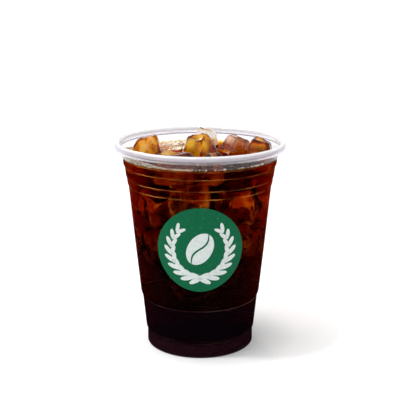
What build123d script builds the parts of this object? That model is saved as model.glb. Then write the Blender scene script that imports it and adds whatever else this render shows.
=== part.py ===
"""Cold brew coffee over ice in a clear thermoformed cup.

Frame: millimetres, +Z up, the origin on the table at the middle of the foot, the cup's
printed side towards -Y. The drink is one solid up to its level, cut round the ice cubes
that break its surface. Each of those cubes is a solid of its own.
"""

import os
from math import radians, tan

from build123d import *

# ---- cup: thin clear plastic, a round wall with stiffening rings -------------------
cup_height = 120.0
rim_diameter = 98.0
foot_diameter = 62.4
wall = 0.5

# rolled lip: the sheet turns outward over a half circle, drops and turns back in
lip_radius = 1.95
lip_drop = 0.5
lip_tuck_deg = 115.0

# rings under the lip: how far the middle of each lies below the top, and its step inward
rings = [(8.7, 0.58), (13.2, 0.64), (19.8, 0.38), (24.4, 0.41)]
ring_height = 1.2
ring_round = 1.0

# waist: the ring low on the wall where stacked cups part
waist_level = 30.0
waist_height = 2.6
waist_step = 0.69

# foot: a narrower band under a rounded shoulder, with the middle of the base pushed up
foot_band = 8.0
shoulder_height = 1.6
shoulder_step = 0.7
shoulder_round = 2.2
foot_round = 1.5
base_rise = 4.5
base_flat_diameter = 44.0
base_slope_deg = 62.0

# ---- drink and ice -----------------------------------------------------------------
headspace = 8.0
drink_gap = 0.2
ice_gap = 0.1
ice_wall_gap = 0.5
ice_depth = 14.0
melt_round = 2.6
dish_depth = 0.9
dish_radius = 16.0

# Each cube: where its middle lies (bearing from +X, distance out, height over the level),
# its size (across, in and out, tall), how it is turned and leant, the slope of its sides
# and the corner broken off it. Lengths are shares of the clear radius at the ice's depth,
# because the cubes are wedged in the mouth and fill it.
ice_cubes = {
    "ice_centre": ((272.0, 0.19, 0.04), (0.64, 0.46, 0.50), (-6.0, 12.0, 4.0), 11.0, 0.22),
    "ice_left": ((177.0, 0.735, -0.01), (0.52, 0.50, 0.52), (6.0, 11.0, 5.0), 7.0, 0.20),
    "ice_front_left": ((244.0, 0.73, -0.06), (0.55, 0.38, 0.42), (-4.0, 6.0, 3.0), 5.0, 0.16),
    "ice_front_mid": ((284.0, 0.77, -0.04), (0.31, 0.34, 0.40), (5.0, 5.0, -4.0), 4.0, 0.14),
    "ice_right": ((356.0, 0.82, -0.01), (0.44, 0.36, 0.46), (-6.0, 10.0, -5.0), 4.0, 0.16),
    "ice_right_inner": ((38.0, 0.62, -0.03), (0.44, 0.42, 0.44), (8.0, 10.0, 7.0), 6.0, 0.17),
    "ice_back": ((84.0, 0.72, 0.02), (0.40, 0.38, 0.42), (-9.0, 12.0, 6.0), 6.0, 0.16),
    "ice_back_left": ((127.4, 0.66, -0.14), (0.46, 0.40, 0.36), (6.0, 4.0, 3.0), 5.0, 0.15),
}

# ---- worked out from the sizes above -----------------------------------------------
level = cup_height - headspace
foot_radius = foot_diameter / 2
lip_centre_z = cup_height - lip_radius
lip_centre_r = rim_diameter / 2 - lip_radius
wall_top_radius = lip_centre_r - lip_radius + wall
shoulder_radius = foot_radius + shoulder_step
steps = waist_step + sum(step for depth, step in rings)
slope_top = wall_top_radius - steps - shoulder_radius
slope = slope_top / (lip_centre_z - foot_band - shoulder_height)
base_flat_radius = base_flat_diameter / 2
ring_foot_radius = base_flat_radius + base_rise / tan(radians(base_slope_deg))


def wall_points(inset):
    """Points of the wall from the foot up, moved in from the outer face by inset."""
    z = foot_band + shoulder_height
    r = shoulder_radius - inset
    points = [(foot_radius - inset, foot_band), (r, z)]
    ledges = [(waist_level, waist_height, waist_step)]
    ledges += [(cup_height - depth, ring_height, step) for depth, step in reversed(rings)]
    for middle, height, step in ledges:
        under = middle - height / 2
        r += slope * (under - z)
        points.append((r, under))
        z = middle + height / 2
        r += slope * height + step
        points.append((r, z))
    return points + [(wall_top_radius - inset, lip_centre_z)]


def corners_at(section, points):
    """The corners of a half section that lie at these points."""
    return [section.vertices().sort_by_distance(point)[0] for point in points]


def cross_section(inset):
    """Half of the cup's outer form as a face beside the axis, moved in by inset."""
    shift = inset * tan(radians(base_slope_deg) / 2)
    base = [
        (0, base_rise + inset),
        (base_flat_radius + shift, base_rise + inset),
        (ring_foot_radius + shift, inset),
        (foot_radius - inset, inset),
    ]
    outline = base + wall_points(inset)
    with BuildSketch(Plane.XZ) as section:
        with BuildLine():
            Polyline(*outline, (0, lip_centre_z), close=True)
        make_face()
        foot_corner = (foot_radius - inset, inset)
        shoulder, *ring_corners = wall_points(inset)[1:-1]
        fillet(corners_at(section, [foot_corner]), foot_round - inset)
        fillet(corners_at(section, [shoulder]), shoulder_round - inset)
        fillet(corners_at(section, ring_corners), ring_round)
    return section.sketch


def outer_radius(height):
    """Radius of the wall's outer face at a height above the foot band."""
    points = wall_points(0)
    for (r_low, z_low), (r_high, z_high) in zip(points, points[1:]):
        if height <= z_high:
            return r_low + (r_high - r_low) * (height - z_low) / (z_high - z_low)
    return wall_top_radius


ice_room = outer_radius(level - ice_depth) - wall - ice_wall_gap


def ice_block(cube, grow, dished):
    """One melted cube in its place, grown by a clearance on every side."""
    (bearing, distance, height), (across, deep, tall), turns, taper, broken = cube
    turn, lean_out, lean_side = turns
    with BuildPart() as block:
        with BuildSketch(Plane.XY.offset(-ice_room * tall / 2 - grow)):
            Rectangle(ice_room * deep + 2 * grow, ice_room * across + 2 * grow)
            broken_corner = vertices().group_by(Axis.X)[-1].sort_by(Axis.Y)[-1]
            chamfer(broken_corner, ice_room * broken)
        extrude(amount=ice_room * tall + 2 * grow, taper=taper)
        fillet(block.edges(), melt_round + grow)
        if dished:
            with Locations((0, 0, ice_room * tall / 2 + dish_radius - dish_depth)):
                Sphere(dish_radius, mode=Mode.SUBTRACT)
    place = Rot(Z=bearing) * Pos(X=ice_room * distance, Z=level + ice_room * height)
    return place * Rot(lean_side, lean_out, turn) * block.part


os.makedirs("parts", exist_ok=True)

# The cup: the wall and the raised base between two revolved outlines, and the rolled lip.
with BuildPart() as cup:
    revolve(cross_section(0), axis=Axis.Z)
    revolve(cross_section(wall), axis=Axis.Z, mode=Mode.SUBTRACT)
    with BuildSketch(Plane.XZ) as lip_section:
        with BuildLine():
            ends = []
            for radius in (lip_radius, lip_radius - wall):
                over = CenterArc((lip_centre_r, lip_centre_z), radius, 180, -180)
                Line(over @ 1, over @ 1 - (0, lip_drop))
                tuck_centre = (lip_centre_r, lip_centre_z - lip_drop)
                tuck = CenterArc(tuck_centre, radius, 0, -lip_tuck_deg)
                ends += [over @ 0, tuck @ 1]
            Line(ends[0], ends[2])
            Line(ends[1], ends[3])
        make_face()
    revolve(axis=Axis.Z)
cup.part.label = "cup"
export_step(cup.part, "parts/cup.step")

# The drink: everything inside the wall up to the level, cut round the cubes in it.
with BuildPart() as coffee:
    revolve(cross_section(wall + drink_gap), axis=Axis.Z)
    split(bisect_by=Plane.XY.offset(level), keep=Keep.BOTTOM)
    for cube in ice_cubes.values():
        add(ice_block(cube, ice_gap, False), mode=Mode.SUBTRACT)
coffee.part.label = "coffee"
export_step(coffee.part, "parts/coffee.step")

# The ice: melted cubes that break the surface, each a piece of its own.
for name, cube in ice_cubes.items():
    ice = ice_block(cube, 0, True)
    ice.label = name
    export_step(ice, f"parts/{name}.step")
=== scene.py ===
import math
import random

import bpy
from mathutils import Euler, Matrix, Vector


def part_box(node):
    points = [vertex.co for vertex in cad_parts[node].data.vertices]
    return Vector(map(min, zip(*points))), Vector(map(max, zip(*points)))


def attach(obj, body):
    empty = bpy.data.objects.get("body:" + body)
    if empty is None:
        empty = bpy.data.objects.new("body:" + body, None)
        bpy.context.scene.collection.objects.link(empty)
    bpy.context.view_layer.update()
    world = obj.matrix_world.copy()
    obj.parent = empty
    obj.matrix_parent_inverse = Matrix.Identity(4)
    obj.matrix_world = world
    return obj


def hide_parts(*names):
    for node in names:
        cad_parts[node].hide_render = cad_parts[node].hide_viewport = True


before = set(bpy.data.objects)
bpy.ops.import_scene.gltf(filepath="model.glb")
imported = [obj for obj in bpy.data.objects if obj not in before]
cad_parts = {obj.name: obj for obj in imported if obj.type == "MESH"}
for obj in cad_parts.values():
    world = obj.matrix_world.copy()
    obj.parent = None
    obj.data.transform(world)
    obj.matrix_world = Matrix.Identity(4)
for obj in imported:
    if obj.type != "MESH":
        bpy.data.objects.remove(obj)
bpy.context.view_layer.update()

# ---- The cup ----------------------------------------------------------------------
# One sheet of clear PET, drawn down over a mould: a ringed tapering wall, a foot with
# its middle pushed up, and a rim rolled outward into a lip. The sheet is 0.5 mm thick and
# glossy, with a faint violet-grey tint, milky towards the rim; the lip's darker violet
# outer edge and the underside of its roll are painted shade.
WALL = 0.0005
LIP_RADIUS = 0.00195
LIP_DROP = 0.0005
LIP_TUCK = math.radians(115)
LIP_STEPS, TUCK_STEPS = 16, 10
ROUND_POINTS = 160
RING_SOFTNESS = 0.0004
RINGS = [(0.0087, 0.00058), (0.0132, 0.00064), (0.0198, 0.00038), (0.0244, 0.00041)]
RING_HEIGHT = 0.0012
WAIST_LEVEL = 0.030
WAIST_HEIGHT = 0.0026
WAIST_STEP = 0.00069
FOOT_RADIUS = 0.0312
FOOT_BAND = 0.0080
SHOULDER_HEIGHT = 0.0016
SHOULDER_STEP = 0.0007
BASE_RISE = 0.0045
BASE_FLAT_RADIUS = 0.022
BASE_FLANK = BASE_RISE / math.tan(math.radians(62))

drink_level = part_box("coffee")[1].z
cup_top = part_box("cup")[1].z
lip_centre_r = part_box("cup")[1].x - LIP_RADIUS
lip_centre_z = cup_top - LIP_RADIUS
wall_top_r = lip_centre_r - LIP_RADIUS + WALL
shoulder_r = FOOT_RADIUS + SHOULDER_STEP
wall_slope = wall_top_r - shoulder_r - WAIST_STEP - sum(step for depth, step in RINGS)
wall_slope /= lip_centre_z - FOOT_BAND - SHOULDER_HEIGHT


def wall_rings(inset, top):
    """(radius, height) of the wall from the foot up to a height, moved in by inset."""
    radius, height = shoulder_r - inset, FOOT_BAND + SHOULDER_HEIGHT
    rings = [(FOOT_RADIUS - inset, FOOT_BAND), (radius, height)]
    ledges = [(WAIST_LEVEL, WAIST_HEIGHT, WAIST_STEP)]
    ledges += [(cup_top - depth, RING_HEIGHT, step) for depth, step in reversed(RINGS)]
    for middle, tall, step in ledges:
        under = middle - tall / 2
        if under > top:
            break
        radius += wall_slope * (under - height)
        rings.append((radius, under))
        height = middle + tall / 2
        radius += wall_slope * tall + step
        rings.append((radius, height))
    rings = [ring for ring in rings if ring[1] < top - 0.0001]
    radius = rings[-1][0] + wall_slope * (top - rings[-1][1])
    return rings + [(radius, top)]


def base_rings(inset):
    """(radius, height) from near the middle of the base out to the foot's corner."""
    return [
        (0.002, BASE_RISE + inset),
        (0.012, BASE_RISE + inset),
        (BASE_FLAT_RADIUS + inset / 2, BASE_RISE + inset),
        (BASE_FLAT_RADIUS + BASE_FLANK + inset / 2, inset),
        (FOOT_RADIUS - inset, inset),
    ]


def turned(name, rings, closed_top=False):
    """A round skin: a circle extruded from ring to ring, with the ends drawn together."""
    radius, height = rings[0]
    bpy.ops.object.select_all(action="DESELECT")
    bpy.ops.mesh.primitive_circle_add(
        vertices=ROUND_POINTS, radius=radius, fill_type="TRIFAN", location=(0, 0, height)
    )
    piece = bpy.context.object
    piece.name = name
    bpy.ops.object.transform_apply(location=True, rotation=True, scale=True)
    bpy.ops.object.mode_set(mode="EDIT")
    bpy.ops.mesh.select_all(action="SELECT")
    bpy.ops.mesh.region_to_loop()
    for next_radius, next_height in rings[1:]:
        rise = (0, 0, next_height - height)
        bpy.ops.mesh.extrude_edges_move(TRANSFORM_OT_translate={"value": rise})
        grow = next_radius / radius
        bpy.ops.transform.resize(value=(grow, grow, 1), center_override=(0, 0, next_height))
        radius, height = next_radius, next_height
    if closed_top:
        bpy.ops.mesh.merge(type="CENTER")
    bpy.ops.mesh.select_all(action="SELECT")
    bpy.ops.mesh.normals_make_consistent(inside=False)
    bpy.ops.object.mode_set(mode="OBJECT")
    rounding = piece.modifiers.new("round_rings", "BEVEL")
    rounding.width = RING_SOFTNESS
    rounding.segments = 3
    rounding.limit_method = "ANGLE"
    rounding.angle_limit = math.radians(13)
    return piece


def activate(piece):
    """Select only this piece and make it the active one."""
    bpy.ops.object.select_all(action="DESELECT")
    piece.select_set(True)
    bpy.context.view_layer.objects.active = piece


def apply_all(piece):
    """Apply a piece's modifiers in their order."""
    activate(piece)
    for modifier in list(piece.modifiers):
        bpy.ops.object.modifier_apply(modifier=modifier.name)


def finish_named(name, **values):
    """A Principled material with these values on its own sockets."""
    material = bpy.data.materials.new(name)
    material.use_nodes = True
    shader = material.node_tree.nodes["Principled BSDF"]
    for socket, value in values.items():
        shader.inputs[socket.replace("_", " ")].default_value = value
    return material


def add_noise(material, scale, detail=2.0, stretch=(1, 1, 1)):
    """Noise through the piece in its own metres, stretched along an axis."""
    nodes, links = material.node_tree.nodes, material.node_tree.links
    place = nodes.new("ShaderNodeTexCoord")
    mapping = nodes.new("ShaderNodeMapping")
    mapping.inputs["Scale"].default_value = stretch
    noise = nodes.new("ShaderNodeTexNoise")
    noise.inputs["Scale"].default_value = scale
    noise.inputs["Detail"].default_value = detail
    links.new(place.outputs["Object"], mapping.inputs["Vector"])
    links.new(mapping.outputs["Vector"], noise.inputs["Vector"])
    return noise.outputs["Fac"]


def add_range(material, value, low, high, to_low, to_high):
    """Turn a value between low and high into one between to_low and to_high."""
    spread = material.node_tree.nodes.new("ShaderNodeMapRange")
    spread.inputs["From Min"].default_value = low
    spread.inputs["From Max"].default_value = high
    spread.inputs["To Min"].default_value = to_low
    spread.inputs["To Max"].default_value = to_high
    material.node_tree.links.new(value, spread.inputs["Value"])
    return spread.outputs["Result"]


def add_ramp(material, value, stops):
    """A colour ramp over a value, from (position, colour) stops."""
    ramp = material.node_tree.nodes.new("ShaderNodeValToRGB")
    elements = ramp.color_ramp.elements
    while len(elements) < len(stops):
        elements.new(0.5)
    for element, (position, colour) in zip(elements, stops):
        element.position = position
        element.color = (*colour, 1)
    material.node_tree.links.new(value, ramp.inputs["Fac"])
    return ramp.outputs["Color"]


def add_height(material):
    """The height above the table, in metres."""
    nodes, links = material.node_tree.nodes, material.node_tree.links
    place = nodes.new("ShaderNodeTexCoord")
    split = nodes.new("ShaderNodeSeparateXYZ")
    links.new(place.outputs["Object"], split.inputs["Vector"])
    return split.outputs["Z"]


def add_radius(material):
    """The distance out from the cup's axis, in metres."""
    nodes, links = material.node_tree.nodes, material.node_tree.links
    place = nodes.new("ShaderNodeTexCoord")
    flat = nodes.new("ShaderNodeVectorMath")
    flat.operation = "MULTIPLY"
    flat.inputs[1].default_value = (1, 1, 0)
    links.new(place.outputs["Object"], flat.inputs[0])
    length = nodes.new("ShaderNodeVectorMath")
    length.operation = "LENGTH"
    links.new(flat.outputs["Vector"], length.inputs[0])
    return length.outputs["Value"]


def add_math(material, operation, first, second):
    """One sum on two values, of which the second may be a plain number."""
    sum_node = material.node_tree.nodes.new("ShaderNodeMath")
    sum_node.operation = operation
    material.node_tree.links.new(first, sum_node.inputs[0])
    if isinstance(second, (int, float)):
        sum_node.inputs[1].default_value = second
    else:
        material.node_tree.links.new(second, sum_node.inputs[1])
    return sum_node.outputs[0]


def link_to(material, value, socket):
    """Drive a socket of the material's Principled shader."""
    shader = material.node_tree.nodes["Principled BSDF"]
    material.node_tree.links.new(value, shader.inputs[socket])


def add_bump(material, value, distance):
    """Raise the surface by a value, up to a distance in metres."""
    bump = material.node_tree.nodes.new("ShaderNodeBump")
    bump.inputs["Distance"].default_value = distance
    material.node_tree.links.new(value, bump.inputs["Height"])
    link_to(material, bump.outputs["Normal"], "Normal")


lip_rings = []
for step in range(1, LIP_STEPS + 1):
    angle = math.pi - math.pi * step / LIP_STEPS
    lip_rings.append((
        lip_centre_r + (LIP_RADIUS - WALL) * math.cos(angle),
        lip_centre_z + (LIP_RADIUS - WALL) * math.sin(angle),
    ))
for step in range(TUCK_STEPS + 1):
    angle = -LIP_TUCK * step / TUCK_STEPS
    lip_rings.append((
        lip_centre_r + (LIP_RADIUS - WALL) * math.cos(angle),
        lip_centre_z - LIP_DROP + (LIP_RADIUS - WALL) * math.sin(angle),
    ))
cup = turned("clear_cup", base_rings(0) + wall_rings(0, lip_centre_z) + lip_rings)
apply_all(cup)

sheet = cup.modifiers.new("sheet", "SOLIDIFY")
sheet.thickness = WALL
sheet.offset = 1
sheet.use_even_offset = True
sheet.material_offset = 1

dry_plastic = finish_named("dry_plastic", Roughness=0.05, IOR=1.3)
up_lip = add_range(dry_plastic, add_height(dry_plastic), drink_level, cup_top, 0.0, 1.0)
link_to(dry_plastic, add_ramp(dry_plastic, up_lip, [
    (0.40, (0.76, 0.745, 0.765)), (0.65, (0.95, 0.935, 0.96)),
]), "Base Color")
link_to(dry_plastic, add_range(dry_plastic, up_lip, 0.40, 0.66, 0.985, 0.86), "Transmission Weight")

lip_plastic = finish_named("lip_plastic", Roughness=0.05, IOR=1.45)
up_roll = add_range(
    lip_plastic, add_height(lip_plastic), lip_centre_z - LIP_RADIUS - LIP_DROP, cup_top, 0.0, 1.0
)
clear_part = add_ramp(lip_plastic, up_roll, [
    (0.04, (0.66, 0.66, 0.66)), (0.12, (0.97, 0.97, 0.97)), (0.36, (0.95, 0.95, 0.95)),
    (0.50, (0.58, 0.58, 0.58)), (0.75, (0.50, 0.50, 0.50)),
])
link_to(lip_plastic, clear_part, "Transmission Weight")
# painted shade on the lip: darker violet-grey at its outer edge, and in uneven streaks over the
# lower half of its roll, where the dark coffee would show through
lip_edge_painted_shade = add_range(
    lip_plastic, add_radius(lip_plastic), lip_centre_r + 0.0008, lip_centre_r + 0.0018, 0.0, 1.0
)
lip_under_painted_shade = add_ramp(lip_plastic, up_roll, [
    (0.05, (0.0, 0.0, 0.0)), (0.13, (1.0, 1.0, 1.0)),
    (0.34, (1.0, 1.0, 1.0)), (0.46, (0.0, 0.0, 0.0)),
])
uneven = add_range(lip_plastic, add_noise(lip_plastic, 60), 0.40, 0.60, 0.25, 1.0)
painted_roll_shade = add_math(lip_plastic, "MULTIPLY", uneven, lip_under_painted_shade)
painted_roll_shade = add_math(lip_plastic, "MAXIMUM", painted_roll_shade, lip_edge_painted_shade)
link_to(lip_plastic, add_ramp(lip_plastic, painted_roll_shade, [
    (0.0, (1.0, 0.99, 1.0)), (0.30, (0.97, 0.96, 0.98)), (1.0, (0.70, 0.67, 0.74)),
]), "Base Color")
streaks = add_noise(lip_plastic, 120, stretch=(1, 1, 6))
link_to(lip_plastic, add_range(lip_plastic, streaks, 0.3, 0.7, 0.02, 0.08), "Roughness")
wet_plastic = finish_named(
    "wet_plastic", Base_Color=(1, 1, 1, 1), Roughness=0.0, IOR=1.03, Transmission_Weight=1.0
)

# painted shade: a dark, see-through lining on the inside of the sheet, dense towards the
# foot, which takes away the last light from the deep coffee there
SHADE_DENSE_BELOW, SHADE_THIN_ABOVE = 0.055, 0.088
wet_shade_lining = finish_named("wet_shade_lining", Roughness=0.5, IOR=1.2, Specular_IOR_Level=0.0)
link_to(wet_shade_lining, add_ramp(wet_shade_lining, add_noise(wet_shade_lining, 80), [
    (0.35, (0.002, 0.0008, 0.0008)), (0.65, (0.005, 0.002, 0.002)),
]), "Base Color")
shade_cover = add_range(
    wet_shade_lining, add_height(wet_shade_lining), SHADE_DENSE_BELOW, SHADE_THIN_ABOVE, 0.62, 0.02
)
link_to(wet_shade_lining, shade_cover, "Alpha")
# painted shade below the waist: a dark, mostly opaque lining inside the sheet, a little less dark
# at the foot
deep_shade_lining = finish_named("deep_shade_lining", Roughness=0.5, IOR=1.2, Alpha=0.80, Specular_IOR_Level=0.0)
up_foot = add_range(deep_shade_lining, add_height(deep_shade_lining), 0.0, 2 * FOOT_BAND, 0.0, 1.0)
link_to(deep_shade_lining, add_ramp(deep_shade_lining, up_foot, [
    (0.42, (0.016, 0.0045, 0.0075)), (0.55, (0.0035, 0.0012, 0.0030)),
]), "Base Color")

# painted shade on the foot's underside, and painted highlights: the bright lines where light
# catches the rings and the ledges
shaded_base = finish_named("shaded_base", Roughness=0.4, IOR=1.45, Specular_IOR_Level=0.1)
link_to(shaded_base, add_ramp(shaded_base, add_noise(shaded_base, 90), [
    (0.35, (0.03, 0.007, 0.009)), (0.65, (0.07, 0.016, 0.02)),
]), "Base Color")
lit_rings = finish_named("lit_rings", Roughness=0.3, IOR=1.2, Alpha=0.48)
link_to(lit_rings, add_ramp(lit_rings, add_noise(lit_rings, 65, stretch=(1, 1, 0.2)), [
    (0.38, (0.05, 0.012, 0.004)), (0.50, (0.30, 0.085, 0.008)), (0.64, (0.85, 0.34, 0.06)),
]), "Base Color")
lit_waist = finish_named("lit_waist", Roughness=0.3, IOR=1.2, Alpha=0.9)
link_to(lit_waist, add_ramp(lit_waist, add_noise(lit_waist, 40, stretch=(1, 1, 0.2)), [
    (0.34, (0.16, 0.05, 0.05)), (0.48, (0.36, 0.15, 0.14)), (0.62, (0.64, 0.38, 0.35)),
]), "Base Color")
cup.data.materials.clear()
# the sheet's outer finish and then its inner one, for each zone of the wall
for finish, lining in (
    (lip_plastic, lip_plastic), (dry_plastic, dry_plastic), (wet_plastic, wet_shade_lining),
    (wet_plastic, deep_shade_lining), (shaded_base, wet_shade_lining), (lit_rings, wet_shade_lining),
    (lit_waist, deep_shade_lining),
):
    cup.data.materials.append(finish)
    cup.data.materials.append(lining)
LIP, DRY, WET, DEEP_DOWN, UNDER, RING_LINE, WAIST_LINE = range(0, 14, 2)
LINE = 0.00052
waist_lines = [FOOT_BAND, FOOT_BAND + SHOULDER_HEIGHT, WAIST_LEVEL - WAIST_HEIGHT / 2]
ring_lines = [cup_top - depth - RING_HEIGHT / 2 for depth, step in RINGS]
for face in cup.data.polygons:
    height = face.center.z
    if height > lip_centre_z - LIP_RADIUS - LIP_DROP:
        face.material_index = LIP
    elif height > drink_level:
        face.material_index = DRY
    elif height < BASE_RISE + WALL and math.hypot(*face.center.xy) < FOOT_RADIUS - 2 * WALL:
        face.material_index = UNDER
    elif min(abs(height - line) for line in ring_lines) < LINE / 2:
        face.material_index = RING_LINE
    elif min(abs(height - line) for line in waist_lines) < LINE / 2:
        face.material_index = WAIST_LINE
    elif height < WAIST_LEVEL:
        face.material_index = DEEP_DOWN
    else:
        face.material_index = WET
apply_all(cup)
bpy.ops.object.shade_smooth()
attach(cup, "root")
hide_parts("cup")

# ---- The print --------------------------------------------------------------------
# One round screen print in two inks on the front of the wall: a green field, and on it
# a white bean inside a wreath of leaves. The inks lie on the plastic as thin films,
# and the white lies on the green.
FIELD_ACROSS = 0.0490
FIELD_HEIGHT = 0.0665
FIELD_WALL_RADIUS = 0.042
FILM = 0.00004
FRONT = -0.07
LEAVES_EACH_SIDE = 9
WREATH_RADIUS = 0.0180
WREATH_START, WREATH_SWEEP = -82, 128
WREATH_NARROW = 0.96
LEAF_LENGTH, LEAF_SHRINK, LEAF_WIDTH = 0.0078, 0.0022, 0.36
BEAN_ACROSS, BEAN_TALL, BEAN_LEAN = 0.0136, 0.0196, 0.5
BEAN_HEIGHT = FIELD_HEIGHT + 0.0008
CREASE_WIDE, CREASE_LONG, CREASE_SWAY = 0.0011, 0.0200, 0.0017
ON_WALL, ON_GREEN, ON_WHITE = 0.00001, 0.00006, 0.00011

# the outer and the inner leaf of each pair: its lean, and its reach out from the middle
LEAF_PAIR = [(0.62, 1.0), (-0.35, 0.86)]


def ink_shape(name, across, tall, x, z, turn, points, rings):
    """An oval of ink, standing in front of the cup, with rings of points inside it."""
    bpy.ops.object.select_all(action="DESELECT")
    bpy.ops.mesh.primitive_circle_add(vertices=points, radius=0.5, rotation=(math.pi / 2, 0, 0))
    shape = bpy.context.object
    shape.name = name
    bpy.ops.object.transform_apply(location=True, rotation=True, scale=True)
    bpy.ops.object.mode_set(mode="EDIT")
    bpy.ops.mesh.select_all(action="SELECT")
    bpy.ops.transform.resize(value=(across, 1, tall), center_override=(0, 0, 0))
    for ring in range(rings, 1, -1):
        shrink = (ring - 1) / ring
        bpy.ops.mesh.extrude_edges_move(TRANSFORM_OT_translate={"value": (0, 0, 0)})
        bpy.ops.transform.resize(value=(shrink, 1, shrink), center_override=(0, 0, 0))
    bpy.ops.mesh.extrude_edges_move(TRANSFORM_OT_translate={"value": (0, 0, 0)})
    bpy.ops.mesh.merge(type="CENTER")
    bpy.ops.object.mode_set(mode="OBJECT")
    shape.data.transform(Matrix.Translation((x, FRONT, z)) @ Matrix.Rotation(turn, 4, "Y"))
    return shape


def wrapped(shapes, name, proud):
    """Join shapes of ink and lay them on the cup's wall as one thin film."""
    bpy.ops.object.select_all(action="DESELECT")
    for shape in shapes:
        shape.select_set(True)
    bpy.context.view_layer.objects.active = shapes[0]
    bpy.ops.object.join()
    film = bpy.context.object
    film.name = name
    bpy.ops.object.mode_set(mode="EDIT")
    bpy.ops.mesh.select_all(action="SELECT")
    bpy.ops.mesh.remove_doubles(threshold=0.000001)
    bpy.ops.mesh.normals_make_consistent(inside=False)
    bpy.ops.object.mode_set(mode="OBJECT")
    if film.data.polygons[0].normal.y > 0:
        film.data.flip_normals()
    wrap = film.modifiers.new("wrap", "SHRINKWRAP")
    wrap.wrap_method = "PROJECT"
    wrap.use_project_y = True
    wrap.use_positive_direction = True
    wrap.target = cup
    wrap.offset = proud
    apply_all(film)
    ink = film.modifiers.new("ink", "SOLIDIFY")
    ink.thickness = FILM
    ink.offset = 1
    apply_all(film)
    bpy.ops.object.shade_smooth_by_angle(angle=math.radians(40))
    return film


field_width = 2 * FIELD_WALL_RADIUS * math.sin(FIELD_ACROSS / 2 / FIELD_WALL_RADIUS)
field = ink_shape("field", field_width, FIELD_ACROSS, 0, FIELD_HEIGHT, 0, 96, 14)
field = wrapped([field], "green_ink", ON_WALL)
marks = []
for side in (-1, 1):
    for leaf in range(LEAVES_EACH_SIDE):
        angle = math.radians(WREATH_START + WREATH_SWEEP * leaf / (LEAVES_EACH_SIDE - 1))
        length = LEAF_LENGTH - LEAF_SHRINK * leaf / (LEAVES_EACH_SIDE - 1)
        for lean, reach in LEAF_PAIR:
            marks.append(ink_shape(
                "leaf", length, length * LEAF_WIDTH,
                side * WREATH_RADIUS * reach * math.cos(angle) * WREATH_NARROW,
                FIELD_HEIGHT + WREATH_RADIUS * reach * math.sin(angle),
                side * (-angle - math.pi / 2 + lean), 20, 3,
            ))
marks.append(ink_shape("bean", BEAN_ACROSS, BEAN_TALL, 0, BEAN_HEIGHT, BEAN_LEAN, 48, 8))
motif = wrapped(marks, "white_ink", ON_GREEN)

bpy.ops.object.select_all(action="DESELECT")
bpy.ops.mesh.primitive_plane_add(size=1)
crease = bpy.context.object
bpy.ops.object.mode_set(mode="EDIT")
bpy.ops.mesh.select_all(action="SELECT")
bpy.ops.transform.resize(value=(CREASE_WIDE, CREASE_LONG, 1), center_override=(0, 0, 0))
bpy.ops.mesh.subdivide(number_cuts=24)
bpy.ops.object.mode_set(mode="OBJECT")
for point in crease.data.vertices:
    along = point.co.y / (CREASE_LONG / 2)
    sway = CREASE_SWAY * math.sin(along * math.pi)
    point.co.x = point.co.x * (1 - 0.5 * along * along) + sway
crease.data.transform(
    Matrix.Translation((0, FRONT, BEAN_HEIGHT))
    @ Matrix.Rotation(BEAN_LEAN, 4, "Y") @ Matrix.Rotation(math.pi / 2, 4, "X")
)
split_line = wrapped([crease], "green_crease", ON_WHITE)

green_ink = finish_named("green_ink", Roughness=0.38, IOR=1.45, Specular_IOR_Level=0.1)
link_to(green_ink, add_ramp(green_ink, add_noise(green_ink, 900, 4), [
    (0.30, (0.0004, 0.100, 0.039)), (0.64, (0.0008, 0.118, 0.048)), (0.74, (0.03, 0.19, 0.10)),
]), "Base Color")
add_bump(green_ink, add_noise(green_ink, 2500), 0.00002)
white_ink = finish_named("white_ink", Roughness=0.42, IOR=1.45)
link_to(white_ink, add_ramp(white_ink, add_noise(white_ink, 700, 4), [
    (0.30, (0.56, 0.63, 0.61)), (0.65, (0.67, 0.73, 0.71)),
]), "Base Color")
add_bump(white_ink, add_noise(white_ink, 2500), 0.00002)
for film, ink in ((field, green_ink), (motif, white_ink), (split_line, green_ink)):
    film.data.materials.clear()
    film.data.materials.append(ink)
    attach(film, "root")

# ---- The ice at the surface -------------------------------------------------------
# Eight machine-made ice cubes that float and break the surface, half melted, with round
# corners, dished faces and narrowed crowns. Their amber is the coffee's stain with painted
# light in it: patches for what shows through the ice, lighter towards the top and darker
# at the edges. The two at the back stay pale, and one on the right runs from tan to a
# painted lilac sheen.
# each look's tones, from painted shade through the coffee's amber to painted light
AMBER = [(0.16, 0.030, 0.001), (0.80, 0.25, 0.002), (1.0, 0.56, 0.006), (1.0, 0.70, 0.08)]
DEEP_AMBER = [(0.03, 0.006, 0.002), (0.28, 0.055, 0.001), (0.74, 0.28, 0.004), (0.86, 0.46, 0.06)]
TAN = [(0.04, 0.008, 0.001), (0.34, 0.085, 0.002), (0.88, 0.42, 0.006), (0.92, 0.60, 0.16)]
LILAC = [(0.16, 0.050, 0.025), (0.60, 0.34, 0.20), (0.84, 0.62, 0.44), (0.90, 0.74, 0.76)]
PALE = [(0.50, 0.36, 0.22), (0.90, 0.80, 0.66), (0.97, 0.93, 0.90), (1.0, 0.98, 0.97)]
STAIN_AND_LIGHT = {
    "ice_centre": "amber", "ice_left": "tan", "ice_front_left": "deep_amber",
    "ice_front_mid": "deep_amber", "ice_right": "deep_amber", "ice_right_inner": "lilac",
    "ice_back": "pale", "ice_back_left": "pale",
}
TAPER = {
    "ice_centre": 0.34, "ice_left": 0.34, "ice_front_left": 0.10, "ice_front_mid": 0.25,
    "ice_right": 0.10, "ice_right_inner": 0.32, "ice_back": 0.25, "ice_back_left": 0.2,
}
LEAN = {"ice_centre": -0.0012, "ice_left": 0.0012, "ice_right_inner": 0.0015}
MELT_GAP = 0.0001
ICE_GRAIN = 0.0008
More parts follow.
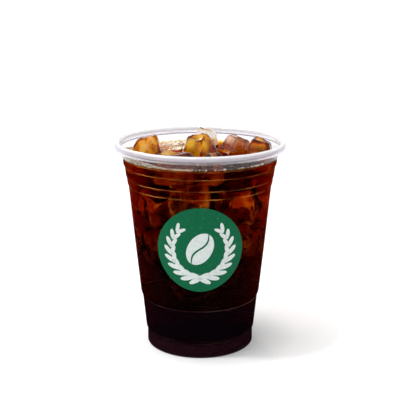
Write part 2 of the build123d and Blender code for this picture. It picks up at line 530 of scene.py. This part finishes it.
DISH_ACROSS, DISH_DEPTH, DISH_LEVEL = 0.0105, 0.0019, 0.45

dish_texture = bpy.data.textures.new("dishes", "VORONOI")
dish_texture.distance_metric = "DISTANCE_SQUARED"
dish_texture.noise_scale = DISH_ACROSS

# painted glow under the waterline: orange and gold on the ice's skins in the coffee for light that
# comes through the ice, brightest under the amber, tan and lilac cubes, dimmer under the deep amber
# ones, and faint on the pale and the sunk ones
under_ice = finish_named(
    "ice_under_coffee", Roughness=0.4, IOR=1.1, Alpha=0.04, Specular_IOR_Level=0.0
)
link_to(under_ice, add_ramp(under_ice, add_noise(under_ice, 150, 2), [
    (0.35, (0.20, 0.03, 0.003)), (0.60, (1.0, 0.30, 0.03)),
]), "Base Color")
soaked_glowing_ice = finish_named("soaked_glowing_ice", Roughness=0.4, IOR=1.1, Alpha=0.62, Specular_IOR_Level=0.0)
link_to(soaked_glowing_ice, add_ramp(soaked_glowing_ice, add_noise(soaked_glowing_ice, 110, 2), [
    (0.34, (0.22, 0.04, 0.003)), (0.48, (0.85, 0.30, 0.012)), (0.62, (1.0, 0.58, 0.04)),
]), "Base Color")
dim_ice = finish_named("dim_ice", Roughness=0.4, IOR=1.1, Alpha=0.36, Specular_IOR_Level=0.0)
link_to(dim_ice, add_ramp(dim_ice, add_noise(dim_ice, 110, 2), [
    (0.36, (0.10, 0.02, 0.002)), (0.50, (0.60, 0.17, 0.01)), (0.64, (0.95, 0.42, 0.03)),
]), "Base Color")


def mark_edges(piece):
    """Store how sharply the ice bends at each point: about 0 on a face, more on an edge."""
    points = piece.data.vertices
    turns = [[] for point in points]
    for side in piece.data.edges:
        first, second = side.vertices
        turn = points[first].normal.angle(points[second].normal, 0)
        turns[first].append(turn)
        turns[second].append(turn)
    bend = piece.data.attributes.new("bend", "FLOAT", "POINT")
    bend.data.foreach_set("value", [sum(turn) / max(1, len(turn)) for turn in turns])


def glassy_ice(name, tones, milk, sheen):
    """Wet ice in air, painted with light: patches of its tones for what shows through it, painted
    shade at its edges and towards the coffee, painted light towards its top.
    """
    material = finish_named(name, IOR=1.16, Coat_Weight=sheen, Coat_Roughness=0.02)
    height = add_height(material)
    # painted light, stronger towards the top of the cube and weakest at the coffee
    up = add_range(material, height, drink_level - 0.001, drink_level + 0.008, 0.0, 0.36)
    place = material.node_tree.nodes.new("ShaderNodeTexCoord")
    facets = material.node_tree.nodes.new("ShaderNodeTexVoronoi")
    facets.feature = "SMOOTH_F1"
    facets.inputs["Scale"].default_value = 170
    facets.inputs["Smoothness"].default_value = 0.25
    tint = material.node_tree.nodes.new("ShaderNodeSeparateColor")
    material.node_tree.links.new(place.outputs["Object"], facets.inputs["Vector"])
    material.node_tree.links.new(facets.outputs["Color"], tint.inputs["Color"])
    # painted see-through: facets and swirls of the tones in place of the coffee and light seen
    # through the ice
    patches = add_math(material, "MULTIPLY", tint.outputs["Red"], 0.42)
    swirl = add_range(material, add_noise(material, 95, 1.5), 0.38, 0.62, 0.0, 0.28)
    patches = add_math(material, "ADD", patches, swirl)
    bend = material.node_tree.nodes.new("ShaderNodeAttribute")
    bend.attribute_name = "bend"
    # painted shade along the cube's edges
    edge_shade = add_range(material, bend.outputs["Fac"], 0.07, 0.17, 0.0, 0.42)
    lit = add_math(material, "ADD", up, patches)
    lit = add_math(material, "SUBTRACT", lit, edge_shade)
    stops = list(zip((0.10, 0.30, 0.55, 0.88), tones))
    link_to(material, add_ramp(material, lit, stops), "Base Color")
    cloudy = add_range(material, add_noise(material, 85, 1.5), 0.40, 0.60, 1.0, 1 - milk)
    clear_edge = add_range(material, bend.outputs["Fac"], 0.10, 0.24, 0.0, 0.9)
    link_to(material, add_math(material, "MAXIMUM", cloudy, clear_edge), "Transmission Weight")
    link_to(material, add_range(material, cloudy, 0.50, 0.75, 0.04, 0.0), "Roughness")
    add_bump(material, add_noise(material, 260, 2), 0.00022)
    shader = material.node_tree.nodes["Principled BSDF"]
    film = material.node_tree.nodes.new("ShaderNodeBump")
    film.inputs["Distance"].default_value = 0.0006
    material.node_tree.links.new(add_noise(material, 210, 1.0), film.inputs["Height"])
    material.node_tree.links.new(film.outputs["Normal"], shader.inputs["Coat Normal"])
    return material


finishes = {
    "amber": (glassy_ice("ice_amber", AMBER, 0.70, 0.22), soaked_glowing_ice),
    "tan": (glassy_ice("ice_tan", TAN, 0.60, 0.15), soaked_glowing_ice),
    "lilac": (glassy_ice("ice_lilac", LILAC, 0.62, 0.45), soaked_glowing_ice),
    "deep_amber": (glassy_ice("ice_deep_amber", DEEP_AMBER, 0.62, 0.12), dim_ice),
    "pale": (glassy_ice("ice_pale", PALE, 0.35, 0.50), under_ice),
}
surface_ice = []
for node, stain_and_light in STAIN_AND_LIGHT.items():
    piece = bpy.data.objects.new("melted_" + node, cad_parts[node].data.copy())
    bpy.context.scene.collection.objects.link(piece)
    activate(piece)
    bpy.ops.object.mode_set(mode="EDIT")
    bpy.ops.mesh.select_all(action="SELECT")
    bpy.ops.mesh.remove_doubles(threshold=0.00001)
    bpy.ops.object.mode_set(mode="OBJECT")
    even = piece.modifiers.new("even", "REMESH")
    even.mode = "VOXEL"
    even.voxel_size = ICE_GRAIN
    dishes = piece.modifiers.new("dishes", "DISPLACE")
    dishes.texture = dish_texture
    dishes.texture_coords = "GLOBAL"
    dishes.strength = DISH_DEPTH
    dishes.mid_level = DISH_LEVEL
    soft = piece.modifiers.new("soft", "SMOOTH")
    soft.iterations = 2
    apply_all(piece)
    low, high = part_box(node)
    middle = (low + high) / 2
    for point in piece.data.vertices:
        crown = max(0, point.co.z - drink_level) / (high.z - drink_level)
        narrow = 1 - TAPER[node] * crown
        point.co.x = middle.x + (point.co.x - middle.x) * narrow + LEAN.get(node, 0) * crown
        point.co.y = middle.y + (point.co.y - middle.y) * narrow
    bpy.ops.object.mode_set(mode="EDIT")
    bpy.ops.mesh.select_all(action="SELECT")
    bpy.ops.mesh.bisect(plane_co=(0, 0, drink_level), plane_no=(0, 0, 1))
    bpy.ops.object.mode_set(mode="OBJECT")
    bpy.ops.object.shade_smooth()
    piece.data.materials.clear()
    mark_edges(piece)
    for finish in finishes[stain_and_light]:
        piece.data.materials.append(finish)
    for face in piece.data.polygons:
        face.material_index = 0 if face.center.z > drink_level else 1
    surface_ice.append(piece)
    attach(piece, "root")
    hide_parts(node)

# ---- The sunk ice -----------------------------------------------------------------
# More cubes of the same ice, crowded under the surface in three layers and tipped this
# way and that, so that some cut into each other. They are clear: only their edges, cloudy
# and streaked with a painted orange glow, and the light that they let through show in the
# coffee, with a faint painted glow on their faces.
DIP = 0.24
FROM_WALL = 0.0010
DEEP, WIDE, TALL = 0.0242, 0.0225, 0.0200
SMALLEST, LARGEST = 0.92, 1.05
SIDE_SLIM, SIDE_REACH = 0.18, 0.06
DRIFT, TURN_DRIFT, MIDDLE_DRIFT = 0.001, 0.12, 0.002
TIP, SWING = 0.45, 0.5
LUMP_ACROSS, LUMP_HEIGHT = 0.008, 0.0045

# each layer: its height, its cubes in a ring, their reach, the first one's heading, and
# whether one more lies in the middle
LAYERS = [
    (0.0830, 6, 0.0256, 0.47, True),
    (0.0610, 6, 0.0225, 0.0, True),
    (0.0430, 3, 0.0140, 0.2, False),
]

melt_texture = bpy.data.textures.new("melt", "CLOUDS")
melt_texture.noise_scale = LUMP_ACROSS
melt_texture.noise_depth = 1


def wall_radius(height):
    """The inside of the cup's wall at a height."""
    rings = wall_rings(WALL, lip_centre_z)
    for (low_r, low_z), (high_r, high_z) in zip(rings, rings[1:]):
        if height <= high_z:
            return low_r + (high_r - low_r) * (height - low_z) / (high_z - low_z)
    return wall_top_r - WALL


rng = random.Random(11)
bpy.ops.object.select_all(action="DESELECT")
bpy.ops.mesh.primitive_cube_add(size=1.0)
pattern = bpy.context.object
edges = pattern.modifiers.new("edges", "BEVEL")
edges.width = 0.05
edges.segments = 2
edges.material = 1
facets = pattern.modifiers.new("facets", "SUBSURF")
facets.levels = 2
facets.render_levels = 2
pattern.data.materials.append(under_ice)
# the cubes' rounded edges: cloudy ice, streaked with a painted orange glow
cloudy_glowing_edge = finish_named("cloudy_glowing_edge", Roughness=0.3, IOR=1.1)
streaks = add_noise(cloudy_glowing_edge, 150, 2)
link_to(cloudy_glowing_edge, add_range(cloudy_glowing_edge, streaks, 0.47, 0.62, 0.02, 0.35), "Alpha")
link_to(cloudy_glowing_edge, add_ramp(cloudy_glowing_edge, streaks, [
    (0.35, (0.3, 0.05, 0.006)), (0.60, (1.0, 0.36, 0.06)),
]), "Base Color")
pattern.data.materials.append(cloudy_glowing_edge)
apply_all(pattern)

places = []
for height, count, out, start, centred in LAYERS:
    for index in range(count):
        angle = start + math.tau * index / count + rng.uniform(-TURN_DRIFT, TURN_DRIFT)
        reach = out * (1 - SIDE_REACH * math.cos(angle) ** 2) + rng.uniform(-DRIFT, DRIFT)
        x, y = reach * math.cos(angle), reach * math.sin(angle)
        places.append((x, y, height - DIP * y + rng.uniform(-DRIFT, DRIFT), angle))
    if centred:
        x = rng.uniform(-MIDDLE_DRIFT, MIDDLE_DRIFT)
        y = rng.uniform(-MIDDLE_DRIFT, MIDDLE_DRIFT)
        places.append((x, y, height, rng.uniform(0, 1.5)))
sunk_ice = []
for index, (x, y, z, heading) in enumerate(places):
    piece = bpy.data.objects.new(f"sunk_ice_{index + 1}", pattern.data.copy())
    bpy.context.scene.collection.objects.link(piece)
    tip, roll = rng.uniform(-TIP, TIP), rng.uniform(-TIP, TIP)
    turn = Euler((tip, roll, heading + rng.uniform(-SWING, SWING)))
    slim = 1 - SIDE_SLIM * math.cos(heading) ** 2
    size = [side * slim * rng.uniform(SMALLEST, LARGEST) for side in (DEEP, WIDE, TALL)] + [1]
    piece.data.transform(
        Matrix.Translation((x, y, z)) @ turn.to_matrix().to_4x4() @ Matrix.Diagonal(size)
    )
    lumps = piece.modifiers.new("lumps", "DISPLACE")
    lumps.texture = melt_texture
    lumps.texture_coords = "GLOBAL"
    lumps.strength = LUMP_HEIGHT
    apply_all(piece)
    for point in piece.data.vertices:
        out = math.hypot(point.co.x, point.co.y)
        limit = wall_radius(point.co.z) - FROM_WALL
        if out > limit:
            point.co.x *= limit / out
            point.co.y *= limit / out
    bpy.ops.object.shade_smooth()
    sunk_ice.append(piece)
    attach(piece, "root")
bpy.data.objects.remove(pattern)

# ---- The coffee -------------------------------------------------------------------
# Cold brew, poured to 8 mm under the rim. It fills the cup to the wall, with its skin
# inside the plastic's thickness, creeps a little up the wall, and is hollow where the
# ice is. It is clear and very dark: red passes furthest through it, blue hardly at all.
CREEP_UP, CREEP_IN = 0.0006, 0.0012
RIPPLE, CALM_FROM, CALM_TO = 0.0020, 0.0030, 0.0015
BREW_TINT, BREW_STRENGTH = (0.898, 0.70, 0.05, 1), 590
wall_skin = WALL / 2
rings = base_rings(wall_skin) + wall_rings(wall_skin, drink_level + CREEP_UP)
edge = rings[-1][0]
rings += [(edge - CREEP_IN / 3, drink_level + 0.00025), (edge - CREEP_IN, drink_level)]
rings += [(edge * share, drink_level) for share in (0.7, 0.4, 0.05)]
coffee = turned("cold_coffee", rings, closed_top=True)
apply_all(coffee)

copies = []
for piece in surface_ice + sunk_ice:
    cutter = bpy.data.objects.new("cutter", piece.data.copy())
    bpy.context.scene.collection.objects.link(cutter)
    copies.append(cutter)
bpy.ops.object.select_all(action="DESELECT")
for cutter in copies:
    cutter.select_set(True)
bpy.context.view_layer.objects.active = copies[0]
bpy.ops.object.join()
cutter = bpy.context.object
pockets = coffee.modifiers.new("pockets", "BOOLEAN")
pockets.operation = "DIFFERENCE"
pockets.object = cutter
pockets.solver = "MANIFOLD"
apply_all(coffee)
bpy.data.objects.remove(cutter)
bpy.ops.object.shade_smooth_by_angle(angle=math.radians(40))
for piece in surface_ice + sunk_ice:
    activate(piece)
    bpy.ops.object.mode_set(mode="EDIT")
    bpy.ops.mesh.select_all(action="SELECT")
    bpy.ops.transform.shrink_fatten(value=MELT_GAP)
    bpy.ops.object.mode_set(mode="OBJECT")

brew = bpy.data.materials.new("cold_coffee")
brew.use_nodes = True
nodes, links = brew.node_tree.nodes, brew.node_tree.links
nodes.remove(nodes["Principled BSDF"])
clear = nodes.new("ShaderNodeBsdfRefraction")
clear.inputs["Roughness"].default_value = 0.0
clear.inputs["IOR"].default_value = 1.12
drawn_in = add_math(brew, "MULTIPLY", add_height(brew), wall_slope)
taper = add_math(brew, "SUBTRACT", add_radius(brew), drawn_in)
inside = add_range(brew, taper, shoulder_r - CALM_FROM, shoulder_r - CALM_TO, 1.0, 0.0)
melt_ripple = add_math(brew, "MULTIPLY", add_noise(brew, 150, 1.5), inside)
ripple = nodes.new("ShaderNodeBump")
ripple.inputs["Distance"].default_value = RIPPLE
links.new(melt_ripple, ripple.inputs["Height"])
links.new(ripple.outputs["Normal"], clear.inputs["Normal"])
links.new(clear.outputs["BSDF"], nodes["Material Output"].inputs["Surface"])
absorb = nodes.new("ShaderNodeVolumeAbsorption")
absorb.inputs["Color"].default_value = BREW_TINT
absorb.inputs["Density"].default_value = BREW_STRENGTH
links.new(absorb.outputs["Volume"], nodes["Material Output"].inputs["Volume"])
coffee.data.materials.clear()
coffee.data.materials.append(brew)
for face in coffee.data.polygons:
    face.material_index = 0
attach(coffee, "root")
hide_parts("coffee")

# ---- The foam ---------------------------------------------------------------------
# Fine cream bubbles that the pour left: a band that clings to the wall from the left
# side round to the front, a raft of larger ones at the back left, and a few strays.
# Each bubble is a small ball, a little flattened, and they touch and overlap as foam does.
BAND_BUBBLES, DRIFT_BUBBLES, RAFT_BUBBLES, STRAY_BUBBLES = 1100, 36, 420, 70
BAND_START, BAND_END, DRIFT_END = 150, 264, 325
BAND_SIZES, DRIFT_SIZES = (0.00018, 0.00050), (0.00020, 0.00065)
RAFT_SIZES, STRAY_SIZES = (0.00025, 0.00085), (0.0002, 0.0006)
BAND_CLIMB = 0.0028
RAFT_HEADING, RAFT_SPREAD = 122, 17
OPEN_SURFACE = 0.043
wall_at_level = edge - wall_skin

bubbles = []
for index in range(BAND_BUBBLES):
    share = rng.random()
    angle = math.radians(BAND_START + (BAND_END - BAND_START) * share)
    radius = rng.uniform(*BAND_SIZES)
    climb = BAND_CLIMB * max(0.12, math.sin(math.pi * min(1, share * 1.15)))
    height = drink_level + climb * rng.random() ** 1.3
    bubbles.append((wall_at_level - radius * rng.uniform(0.9, 2.6), angle, height, radius))
for index in range(DRIFT_BUBBLES):
    angle = math.radians(rng.uniform(BAND_END, DRIFT_END))
    radius = rng.uniform(*DRIFT_SIZES)
    bubbles.append((wall_at_level - radius, angle, drink_level + radius * 0.5, radius))
for index in range(RAFT_BUBBLES):
    angle = math.radians(rng.gauss(RAFT_HEADING, RAFT_SPREAD))
    radius = rng.uniform(*RAFT_SIZES)
    bubbles.append((rng.uniform(0.016, OPEN_SURFACE), angle, drink_level + radius * 0.3, radius))
for index in range(STRAY_BUBBLES):
    angle = math.radians(rng.uniform(0, 360))
    radius = rng.uniform(*STRAY_SIZES)
    bubbles.append((rng.uniform(0.012, OPEN_SURFACE), angle, drink_level + radius * 0.3, radius))
bpy.ops.object.select_all(action="DESELECT")
bpy.ops.mesh.primitive_uv_sphere_add(segments=8, ring_count=5, radius=1.0)
pattern = bpy.context.object
beads = []
for out, angle, height, radius in bubbles:
    bead = bpy.data.objects.new("bead", pattern.data.copy())
    bpy.context.scene.collection.objects.link(bead)
    place = Matrix.Translation((out * math.cos(angle), out * math.sin(angle), height))
    bead.data.transform(place @ Matrix.Diagonal((radius, radius, radius * 0.8, 1)))
    beads.append(bead)
bpy.data.objects.remove(pattern)
bpy.ops.object.select_all(action="DESELECT")
for bead in beads:
    bead.select_set(True)
bpy.context.view_layer.objects.active = beads[0]
bpy.ops.object.join()
foam = bpy.context.object
foam.name = "foam"
bpy.ops.object.shade_smooth()
foam_finish = finish_named("foam", Roughness=0.2, IOR=1.2, Transmission_Weight=0.05)
link_to(foam_finish, add_ramp(foam_finish, add_noise(foam_finish, 500, 3), [
    (0.34, (0.55, 0.34, 0.18)), (0.46, (0.90, 0.74, 0.54)), (0.58, (1.0, 0.94, 0.82)),
]), "Base Color")
foam.data.materials.clear()
foam.data.materials.append(foam_finish)
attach(foam, "root")

# ---- The studio -------------------------------------------------------------------
# A white floor that runs out of sight and a white surround. The floor's own glow fades
# near the foot, which paints shade under the cup and close around it. A wide soft lamp and
# a small bright one, both high on the left, throw the cup's shadow short and to the right,
# and a faint one from behind puts a sheen on the wet ice.
FLOOR_SIZE = 40
SHADE_START, SHADE_END = 0.028, 0.058
bpy.ops.object.select_all(action="DESELECT")
bpy.ops.mesh.primitive_plane_add(size=FLOOR_SIZE, location=(0, 0, 0))
floor = bpy.context.object
floor.name = "floor"
floor_paint = finish_named(
    "floor", Base_Color=(0.86, 0.86, 0.86, 1), Roughness=0.9, Specular_IOR_Level=0.0,
    Emission_Color=(1, 1, 1, 1)
)
nodes, links = floor_paint.node_tree.nodes, floor_paint.node_tree.links


def seen_directly(nodes, links):
    """1 for what the camera, a reflection or a clear piece shows, and 0 for light."""
    rays = nodes.new("ShaderNodeLightPath")
    either = nodes.new("ShaderNodeMath")
    either.operation = "MAXIMUM"
    links.new(rays.outputs["Is Camera Ray"], either.inputs[0])
    links.new(rays.outputs["Is Glossy Ray"], either.inputs[1])
    any_of = nodes.new("ShaderNodeMath")
    any_of.operation = "MAXIMUM"
    links.new(either.outputs[0], any_of.inputs[0])
    links.new(rays.outputs["Is Transmission Ray"], any_of.inputs[1])
    return any_of.outputs[0]


place = nodes.new("ShaderNodeTexCoord")
reach = nodes.new("ShaderNodeVectorMath")
reach.operation = "LENGTH"
links.new(place.outputs["Object"], reach.inputs[0])
# painted shade: the floor's glow is weak under the foot and grows over the next few centimetres out
lift_beyond_painted_shade = add_range(floor_paint, reach.outputs["Value"], SHADE_START, SHADE_END, 0.02, 0.22)
lift = add_math(floor_paint, "MULTIPLY", lift_beyond_painted_shade, seen_directly(nodes, links))
link_to(floor_paint, lift, "Emission Strength")
floor.data.materials.append(floor_paint)

world = bpy.data.worlds.new("studio")
bpy.context.scene.world = world
world.use_nodes = True
nodes, links = world.node_tree.nodes, world.node_tree.links
strength = nodes.new("ShaderNodeMapRange")
strength.inputs["To Min"].default_value = 0.76
strength.inputs["To Max"].default_value = 1.0
links.new(seen_directly(nodes, links), strength.inputs["Value"])
nodes["Background"].inputs["Color"].default_value = (1, 1, 1, 1)
links.new(strength.outputs["Result"], nodes["Background"].inputs["Strength"])

for name, energy, spread, towards in (
    ("soft_lamp", 1.25, 42, (0.42, -0.02, -1.0)),
    ("sparkle", 0.90, 5, (0.36, 0.14, -1.0)),
    ("sheen", 0.22, 6, (0.25, -0.85, -0.55)),
):
    lamp = bpy.data.lights.new(name, "SUN")
    lamp.energy = energy
    lamp.angle = math.radians(spread)
    lamp_object = bpy.data.objects.new(name, lamp)
    bpy.context.scene.collection.objects.link(lamp_object)
    lamp_object.rotation_euler = Vector(towards).to_track_quat("-Z", "Y").to_euler()

# ---- The camera -------------------------------------------------------------------
# A long lens in front of the drink and above its rim, looking down a little, so that the
# rim shows as a flat oval with the ice inside it.
CAMERA_PLACE, CAMERA_DOWN = (0, -0.4856, 0.2116), 14.63
CAMERA_LENS = 78.1
camera = bpy.data.cameras.new("camera")
camera_object = bpy.data.objects.new("camera", camera)
bpy.context.scene.collection.objects.link(camera_object)
camera_object.location = CAMERA_PLACE
camera_object.rotation_euler = (math.radians(90 - CAMERA_DOWN), 0, 0)
camera.lens = CAMERA_LENS
camera.sensor_width = 36
camera.clip_start = 0.01
bpy.context.scene.camera = camera_object
bpy.context.scene.view_settings.view_transform = "Standard"
